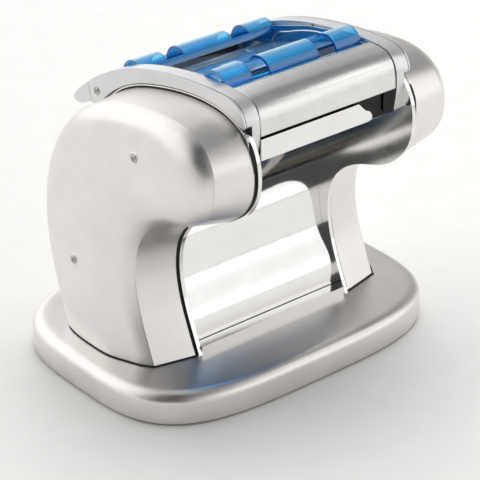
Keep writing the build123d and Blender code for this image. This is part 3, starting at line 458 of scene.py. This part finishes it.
def softDistance(points, line, closest=0.004, chunk=2000):
    # distance to the line that stays smooth far from it: the integral of 1 / r^4 along each straight
    # piece of the line, in closed form, summed and taken to the power -1/3, scaled to be true near the line
    a, b = line[:-1], line[1:]
    along = (b - a) / np.linalg.norm(b - a, axis=1)[:, None]
    total = np.zeros(len(points))
    for start in range(0, len(points), chunk):
        p = points[start:start + chunk, None]
        h = np.maximum(np.abs(np.cross(along[None], p - a[None])), closest)
        s0, s1 = np.sum((a[None] - p) * along, 2), np.sum((b[None] - p) * along, 2)
        part = [s / (2 * h**2 * (h**2 + s**2)) + np.arctan(s / h) / (2 * h**3) for s in (s0, s1)]
        total[start:start + chunk] = np.sum(part[1] - part[0], 1)
    return (2 / np.pi * np.maximum(total, 1e-12)) ** (-1 / 3)


def domedShell(sideCols=130, headCols=84, depthRows=90):
    # the outline is joined by straight lines to a spine between its front and back; each row of the grid
    # lies at one inset (soft distance to the outline), and sets the height over the rim
    front, back = (np.interp([p[k] for p in shell["pairs"]], np.arange(len(corner)), corner) for k in (0, 1))
    share = np.linspace(0, 1, len(front))
    up = np.interp(np.linspace(0, front[-1], sideCols), front, share)
    s = np.r_[np.interp(up, share, front), np.linspace(front[-1], back[-1], headCols)[1:-1],
              np.interp(up[::-1], share, back)]
    step = np.r_[up, np.ones(headCols - 2), up[::-1]]
    edge = onOutline(s)
    spine = (onOutline(np.interp(step, share, front)) + onOutline(np.interp(step, share, back))) / 2
    for side in (edge, spine):
        side[[0, -1], 1] = shell["foot"]

    # the inset all over, with the outline carried on below the foot so that the foot isn't an edge
    t = np.linspace(0, 1, depthRows) ** 1.6
    flat = edge[None] + (spine - edge)[None] * t[:, None, None]
    below = [outline[0] + (outline[0] - outline[3]) * 30, outline[-1] + (outline[-1] - outline[-4]) * 30]
    line = np.r_[below[:1], outline[::2], below[1:]]
    inset = softDistance(flat.reshape(-1, 2), line).reshape(len(t), -1)
    inset[0] = 0
    inset = np.maximum.accumulate(inset, 0) + np.linspace(0, 1e-6, len(t))[:, None]

    # rows up the side wall by their share of it, then over the dome, both closer together at the edges
    bend, part, footShare, backShare = (
        np.interp(s, corner[list(shell["edge"])], column) for column in zip(*shell["edge"].values()))
    wall = np.r_[0, 0.06, np.linspace(0.15, 0.9, 6), 0.96, 0.99]
    over = np.r_[0, 0.004, 0.014, np.linspace(0.03, 1, 40) ** 1.5]
    forms = (smoothCurve(shell[name], 200).T for name in ("headForm", "footForm", "backForm"))
    headRise, footRise, backRise = (np.interp(over, *form)[:, None] for form in forms)
    rise = headRise * (1 - footShare - backShare) + footRise * footShare + backRise * backShare
    height = np.concatenate([wall[:, None] ** shell["wallPower"] * part, part + (1 - part) * rise])
    want = np.concatenate([wall[:, None] * bend, bend + (inset[-1] - bend) * over[:, None]])
    at = np.stack([np.interp(want[:, k], inset[:, k], t) for k in range(len(s))], 1)[..., None]
    flat = edge[None] + (spine - edge)[None] * at
    x = shell["rim"] + (shell["crown"][0] + shell["crown"][1] * flat[..., 1] - shell["rim"]) * height
    return np.concatenate([x[..., None], flat], 2)


def shellMesh(grid, way):
    # the dome's grid closed by its flat side at the rim's X and by its foot; way -1 mirrors it to the left
    rows, cols = grid.shape[:2]
    count = rows * cols
    back = np.concatenate([np.full((cols, 1), shell["rim"]), grid[-1, :, 1:]], 1)
    vertices = np.concatenate([grid.reshape(-1, 3), back]) * (way, 1, 1)
    vertices[:, 1] += rowShift
    faces = gridFaces(rows, cols)
    faces += [[i, i + 1, count + i + 1, count + i] for i in range(cols - 1)]
    foot = [r * cols for r in range(rows)] + [r * cols + cols - 1 for r in reversed(range(rows - 1))]
    faces.append(foot + [count])
    return vertices, faces


def onShell(spot, way, part, nearest=12):
    # part in (across, up, out) laid on the shell: the plane through the grid points nearest to the spot
    y, z = spot
    order = np.argsort(np.hypot(dome[..., 1] - y, dome[..., 2] - z).ravel())
    near = dome.reshape(-1, 3)[order[:nearest]]
    sides = np.c_[near[:, 1] - y, near[:, 2] - z, np.ones(nearest)]
    fit = np.linalg.lstsq(sides, near[:, 0], rcond=None)[0]
    out = np.array([1, -fit[0], -fit[1]]) / np.linalg.norm((1, *fit[:2]))
    across = np.cross((0, 0, 1), out)
    across /= np.linalg.norm(across)
    spots = np.array([fit[2], y, z]) + part[0] @ np.array([across, np.cross(out, across), out])
    return spots * (way, 1, 1) + (0, rowShift, 0), part[1]


dome = domedShell()
for name, way, node in (("leftShell", -1, "left_housing"), ("rightShell", 1, "right_housing")):
    makePiece(name, *shellMesh(dome, way), blastedAluminium, "frame", "satin_shell", [node], sharp=50)

# oval-head screws with a cross recess, each in a low pressed lip
screw = {
    "spots": [(-50.0, 219.0), (31.0, 99.0)],
    "head": 3.4, "side": 0.4, "rise": 1.2,          # radius, and heights of its side and of its crown
    "slot": (0.4, 1.9), "slotDepth": 0.9,           # half width and half length of each slot, and its depth
    "seat": -0.9, "shank": 1.5, "length": 9.0,
    "lip": [(3.9, -0.8), (3.9, 0.15), (4.3, 0.42), (4.9, 0.38), (5.5, 0.1), (6.0, -0.8), (3.9, -0.8)],
}


def crossRecess(grid):
    # the head's ball shape, sunk where a point lies within the two crossed slots, over walls 0.3 mm wide
    x, y, z = np.abs(grid).transpose(2, 0, 1)
    outside = np.maximum(np.minimum(x, y) - screw["slot"][0], np.maximum(x, y) - screw["slot"][1])
    return grid[..., 2] - screw["slotDepth"] * np.clip(0.6 - outside / 0.3, 0, 1) * (z > 0.35)


ball = np.linspace(0, 1, 26)[:, None]
crown = screw["side"] + (screw["rise"] - screw["side"]) * np.sqrt(1 - 0.98 * ball * ball)
headProfile = np.r_[np.c_[screw["head"] * ball, crown], [
    (screw["head"], screw["seat"]), (screw["shank"], screw["seat"]), (screw["shank"], -screw["length"]),
    (0, -screw["length"])]]
places = [(spot, way) for spot in screw["spots"] for way in (-1, 1)]
heads = joined([onShell(*place, lathed(headProfile, 72, crossRecess)) for place in places])
makePiece("ovalHeadScrews", *heads, zincedSteel, "frame", "screw_steel", ["housing_screws"], sharp=45)
lips = joined([onShell(*place, lathed(screw["lip"])) for place in places])
makePiece("pressedLips", *lips, blastedAluminium, "frame", "satin_shell", sharp=60)

# low seats, from inside the shell to its flat side, under the gap dial and the switch: where each one is,
# half its height and half its width, and the power of its outline
seats = {
    "dialSeat": ((-6.9, 199.0), (24.6, 24.6), 2),
    "switchSeat": ((18.0, 122.0), (15.2, 10.7), 6),
}
seatSpan, seatEdge = (124.0, 135.9), 0.8


def seatLoop(halfHeight, halfWidth, power, count=96):
    # superellipse |y/w|^n + |z/h|^n = 1; a circle where the halves are equal and n is 2
    turn = np.linspace(0, 2 * np.pi, count, endpoint=False)
    c, s = np.cos(turn), np.sin(turn)
    return np.stack([halfWidth * np.sign(c) * np.abs(c) ** (2 / power),
                     halfHeight * np.sign(s) * np.abs(s) ** (2 / power)], 1)


for name, (spot, halves, power) in seats.items():
    makePiece(name, *carriedLoop(seatLoop(*halves, power) + spot, seatSpan, seatEdge),
              blastedAluminium, "frame", "satin_shell")
print("shells made")

base = {
    "halfLength": 160.0, "halfDepth": 117.0, "power": 3.55, "top": 28.6, "edge": 9.0,
    # inset and Z from under the rounded edge, round the rim and up the inside
    "skirt": [(0, 2.4), (0.25, 1.75), (0.9, 1.5), (2.5, 1.5), (3.0, 2.0), (3.0, 22), (4.5, 25.6), (60, 25.6)],
    "crowding": 0.075,          # how far the points of a ring gather at its corners
}


def baseRings(count=256):
    # each ring is the superellipse |x/a|^n + |y/b|^n = 1 with both half axes drawn in by the inset
    turn = np.linspace(0, np.pi / 2, 9)
    edge = np.stack([base["edge"] * (1 - np.sin(turn)), base["top"] - base["edge"] * (1 - np.cos(turn))], 1)
    section = np.array([(60, base["top"]), (14, base["top"]), *edge, *base["skirt"]])
    angle = np.linspace(0, 2 * np.pi, count, endpoint=False)
    angle -= base["crowding"] * np.sin(4 * angle)
    c, s = np.cos(angle), np.sin(angle)
    power = 2 / base["power"]
    x = (base["halfLength"] - section[:, :1]) * (np.abs(c) ** power * np.sign(c))[None]
    y = (base["halfDepth"] - section[:, :1]) * (np.abs(s) ** power * np.sign(s))[None] + rowShift
    grid = np.stack([x, y, np.broadcast_to(section[:, 1:], x.shape)], 2)
    faces = gridFaces(len(section), count, wrap=True)
    last = (len(section) - 1) * count
    return grid.reshape(-1, 3), faces + [list(range(count)), list(range(last, last + count))]


makePiece("baseShell", *baseRings(), blastedAluminium, "frame", "satin_shell", ["base_cover"], sharp=60)

# thin black ring round the foot of each shell, a painted contact shadow and reflection along its joint with
# the base: how far it reaches in and out, and below and above the base's top
footShadowRing = {"inner": 1.5, "outer": 0.55, "below": 0.3, "above": 0.9}
plan = np.concatenate([dome[:, 0, :2], dome[-2::-1, -1, :2]])
plan = plan[np.r_[True, np.linalg.norm(np.diff(plan, axis=0), axis=1) > 0.02]]
count = len(plan)
outward = -sideNormals(plan)
inner, outer = plan - outward * footShadowRing["inner"], plan + outward * footShadowRing["outer"]
low, high = base["top"] - footShadowRing["below"], base["top"] + footShadowRing["above"]
ring = np.concatenate([np.c_[line, np.full(count, z)] for line, z in (
    (inner, low), (outer, low), (outer, high), (inner, high), (inner, low))])
ringEnds = [[0, count, 2 * count, 3 * count], [k * count - 1 for k in (4, 3, 2, 1)]]
# black rings drawn as painted contact shadow round the foot of each shell
for way, side in ((-1, "left"), (1, "right")):
    makePiece(side + "FootShadowRing", ring * (way, 1, 1) + (0, rowShift, 0), gridFaces(5, count) + ringEnds,
              blackRubber, "frame", "black_rubber")
print("base made")

cover = {
    "profile": [(-91.5, 272.6), (-102.0, 272.3), (-110.9, 270.0), (-117.4, 264.5), (-120.3, 257.0),
                (-121.5, 249.8), (-121.9, 243.7)],
    "thickness": 2.2, "span": (-69.3, 69.3), "rounding": 0.6,
}
section = sheetLoop(smoothCurve(cover["profile"], 40), cover["thickness"])
makePiece("frontCoverSheet", *carriedLoop(section, cover["span"], cover["rounding"]),
          brushedSteel, "frame", "brushed_cover", ["front_cover"])

softCopy("guard", azurePolycarbonate, 0.5)

# the exit strip's left end, all that lies past endX, is moved up to the left cheek; both in metres
exitStrip = {"bevel": 0.3, "endX": -0.06, "moved": -0.0005}
strip = softCopy("exit_strip", polishedSteel, exitStrip["bevel"])
spots = np.empty(len(strip.data.vertices) * 3)
strip.data.vertices.foreach_get("co", spots)
spots = spots.reshape(-1, 3)
spots[spots[:, 0] < exitStrip["endX"], 0] += exitStrip["moved"]
strip.data.vertices.foreach_set("co", spots.ravel())

softCopy("left_side_plate", polishedSteel, 0)
softCopy("right_side_plate", polishedSteel, 0)
softCopy("rear_cover", silverAbs, 0.7)

# cheeks: the cap's front end is cut off aslant over the post, and a fine groove runs along the cap
cheek = {
    "bevel": 0.8,
    "endSpan": (77.95, 86.0),
    "end": [(-119.3, 252.7), (-124.5, 258.3), (-130, 258.3), (-130, 230), (-105, 230), (-105, 252.7)],
    "grooveSpan": (82.9, 83.6), "grooveDepth": (-1.3, 1.0),
    "groove": [(-121.9, 249), (-121.3, 255), (-118.4, 262.8), (-112.5, 268.6), (-104.5, 271.9), (-92, 273),
               (-70, 272.2), (-45, 269.8), (-20, 266), (5, 260.2), (28, 252.6), (50, 242.4), (60, 236.5)],
}
# a black sheet across the notch under the cap's cut end: painted shade of the dark gap between the cap and
# the post
notch = {
    "span": (78.0, 78.4), "rounding": 0.05,
    "loop": [(-105, 252.9), (-120.9, 252.9), (-121.4, 247), (-120.9, 236), (-105, 236)],
}
rail = {
    "span": (69.55, 70.35), "thickness": 1.3, "rounding": 0.2,
    "path": [(37.5, 224), (39.6, 230), (34, 235.5), (23, 241.5), (5, 250.5), (-14, 257), (-34, 261.5),
             (-50, 263.3)],
}
# a bright rim and a black seal under the cap, the seal's black also the painted shade of the gap there, and a
# seal round the rim: the place along the outline and the lift off it, the inner and outer side, the span, the
# number of points, the finish and its slot
bands = {
    "CapRim": ([(11.3, -0.6), (11.6, 1.3), (18.2, 1.3), (19.3, -0.6)], (0.0, 1.0), (81.6, 84.5), 120,
               polishedSteel, "polished_steel"),
    # black seal under the cap, widened over the gap there as painted shade
    "CapSeal": ([(10.3, -0.9), (11.0, 1.1), (11.4, 1.3), (18.2, 1.3), (19.3, -0.6)], (-1.2, 1.0),
                (81.6, 83.9), 120, blackRubber, "black_rubber"),
    "RimSeal": ([(0.15, 0.0), (26.85, 0.0)], (-1.2, 0.35), (81.65, 83.5), 500, blackRubber, "black_rubber"),
}
bandRounding = 0.15
hinge = {
    "x": 84.9, "spot": (63.0, 222.0),
    "profile": [(0, 0.15), (0.6, 0.15), (0.8, 0.5), (1.5, 0.55), (1.8, 0.2), (2.5, 0.2), (2.8, 0.55),
                (3.3, 0.6), (3.6, 0.3), (3.6, -0.6), (3.0, -0.8), (3.0, -18.6), (2.7, -18.9), (0, -18.9)],
}


def alongShell(points, sides, count):
    # a band beside the shell's outline: the points give the place along it and the band's lift off it
    place, lift = np.array(points).T
    steps = np.linspace(place[0], place[-1], count)
    line = onOutline(np.interp(steps, np.arange(len(corner)), corner))
    out = sideNormals(line)
    inner, outer = (line + out * (np.interp(steps, place, lift)[:, None] + side) for side in sides)
    return np.concatenate([inner, outer[::-1]])


def bentRod(path, x, radius, count=60, around=12):
    # a circle carried along a (Y, Z) path at one X, closed at both ends by its own rings drawn to a point
    line = smoothCurve(path, count)
    ends = [0, *range(count), -1]
    out = sideNormals(line)[ends]
    line = line[ends]
    size = np.r_[0, np.full(count, radius), 0][:, None]
    turn = np.linspace(0, 2 * np.pi, around, endpoint=False)
    across = x + size * np.sin(turn)
    along = line[:, None] + out[:, None] * (size * np.cos(turn))[..., None]
    grid = np.concatenate([across[..., None], along], 2) + (0, rowShift, 0)
    return grid.reshape(-1, 3), gridFaces(count + 2, around, wrap=True)


grooveLine = smoothCurve(cheek["groove"], 90)
grooveUp = sideNormals(grooveLine)
grooveLow, grooveHigh = (grooveLine + grooveUp * depth for depth in cheek["grooveDepth"])
cuts = [(np.array(cheek["end"], float), cheek["endSpan"]),
        (np.concatenate([grooveLow, grooveHigh[::-1]]), cheek["grooveSpan"])]
for way, side in ((-1, "left"), (1, "right")):
    body = softCopy(side + "_cheek", silverAbs, cheek["bevel"])
    for loop, span in cuts:
        carve(body, *carriedLoop(loop, span, 0.01, way))
    # painted shade in the notch under the cap
    notchShade = carriedLoop(np.array(notch["loop"], float), notch["span"], notch["rounding"], way)
    makePiece(side + "NotchShade", *notchShade, blackRubber, "frame", "black_rubber")
    for name, (points, sides, span, count, finish, slot) in bands.items():
        band = carriedLoop(alongShell(points, sides, count), span, bandRounding, way)
        makePiece(side + name, *band, finish, "frame", slot)
    section = sheetLoop(smoothCurve(rail["path"], 70), rail["thickness"])
    makePiece(side + "CheekRail", *carriedLoop(section, rail["span"], rail["rounding"], way),
              polishedSteel, "frame", "polished_steel")
    pin = alongX(lathed(hinge["profile"], 40), way, way * hinge["x"], hinge["spot"])
    makePiece(side + "HingePin", *pin, zincedSteel, nodes["guard_pins"]["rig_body"], "screw_steel",
              ["guard_pins"] if way < 0 else (), sharp=30)

# bright wire that spans the guard's channel near its right end, and the stop pin on the right cheek
wire = {
    "path": [(21.5, 238.2), (18.6, 244.1), (0, 253.1), (-18.3, 259.8), (-38.8, 264.1), (-49.5, 264.6),
             (-54.0, 261.6)],
    "x": 66.0, "radius": 0.6,
}
stop = {
    "x": 70.3, "spot": (-21.8, 264.8),
    "profile": [(0, 0.9), (1.2, 0.9), (1.4, 0.7), (1.4, -1.0), (0, -1.0)],
}
makePiece("channelWire", *bentRod(wire["path"], wire["x"], wire["radius"]), polishedSteel,
          nodes["guard"]["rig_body"], "polished_steel")
makePiece("stopPin", *alongX(lathed(stop["profile"], 24), -1, stop["x"], stop["spot"]), zincedSteel,
          "frame", "screw_steel", sharp=30)
print("covers made")

stageSet = {"half": 6.0, "color": "#f6f5f3", "shade": "#f3f2f0"}
half = stageSet["half"]
corners = [(-half, -half, 0), (half, -half, 0), (half, half, 0), (-half, half, 0)]
floorMesh = bpy.data.meshes.new("floor")
floorMesh.from_pydata(corners, [], [(0, 1, 2, 3)])
floorMesh.materials.append(grainedFinish("paleFloor", stageSet["color"], stageSet["shade"], metallic=0.0,
                                         roughness=0.7, grain=4.0, depth=0.01, spread=0.05))
floor = bpy.data.objects.new("floor", floorMesh)
bpy.context.scene.collection.objects.link(floor)

# the studio is white all round, with three grey zones: overhead, the corner on the left front, and low on
# the right; each has its middle direction, and its brightness against the cosine of the angle from it
studio = {
    "strength": 1.66,
    "overhead": ((0.25, -0.28, 0.927), [(0.5, 1.0), (0.7, 0.78), (0.82, 0.42), (0.94, 0.25)]),
    "corner": ((-0.766, -0.643, 0.0), [(0.3, 1.0), (0.6, 0.74), (0.77, 0.42), (0.92, 0.06)]),
    "lowRight": ((0.852, 0.31, 0.423), [(0.74, 1.0), (0.88, 0.5), (0.97, 0.36)]),
}
world = bpy.data.worlds.new("studio")
bpy.context.scene.world = world
world.use_nodes = True
tree = world.node_tree
tree.nodes.clear()
towards = addNode(tree, "TexCoord").outputs["Generated"]
flat = addNode(tree, "VectorMath", {"operation": "MULTIPLY", 1: (1, 1, 0)}, {0: towards})
level = addNode(tree, "VectorMath", {"operation": "NORMALIZE"}, {0: flat.outputs[0]}).outputs[0]
brightness = None
for name, direction in (("overhead", towards), ("corner", level), ("lowRight", towards)):
    middle, stops = studio[name]
    angle = addNode(tree, "VectorMath", {"operation": "DOT_PRODUCT", 1: middle}, {0: direction})
    zone = addNode(tree, "ValToRGB", links={"Fac": angle.outputs["Value"]})
    setStops(zone.color_ramp, [(place, (value, value, value, 1)) for place, value in stops])
    before = {0: brightness} if brightness else {}
    brightness = addNode(tree, "Math", {"operation": "MULTIPLY", 0: studio["strength"]},
                         {1: zone.outputs[0], **before}).outputs[0]
glow = addNode(tree, "Background", links={"Strength": brightness})
addNode(tree, "OutputWorld", links={"Surface": glow.outputs[0]})


def aim(thing, place, target):
    # stands the thing at its place, looking at the target
    thing.location = place
    thing.rotation_euler = (Vector(target) - Vector(place)).to_track_quat("-Z", "Y").to_euler()
    bpy.context.scene.collection.objects.link(thing)


# each softbox: where it stands, its width and height, its power in watts, and whether reflections show it
softboxes = {
    "top": ((1.3, 0.5, 3.6), (3.0, 3.0), 84, False),
    "right": ((1.5, -1.25, 1.5), (1.0, 0.8), 2, True),
}
middle = (0, 0, 0.13)
for name, (place, size, power, mirrored) in softboxes.items():
    light = bpy.data.lights.new(name, "AREA")
    light.shape, light.size, light.size_y, light.energy = "RECTANGLE", *size, power
    lamp = bpy.data.objects.new(name, light)
    lamp.visible_glossy = mirrored
    aim(lamp, place, middle)

view = {"place": (-1.0139, -1.2120, 0.9307), "target": (0.01256, 0.0082, 0.0782), "lens": 161.08}
camera = bpy.data.objects.new("camera", bpy.data.cameras.new("camera"))
camera.data.sensor_width, camera.data.lens = 36, view["lens"]
aim(camera, view["place"], view["target"])
bpy.context.scene.camera = camera
bpy.context.scene.view_settings.view_transform = "Standard"
print("stage made")
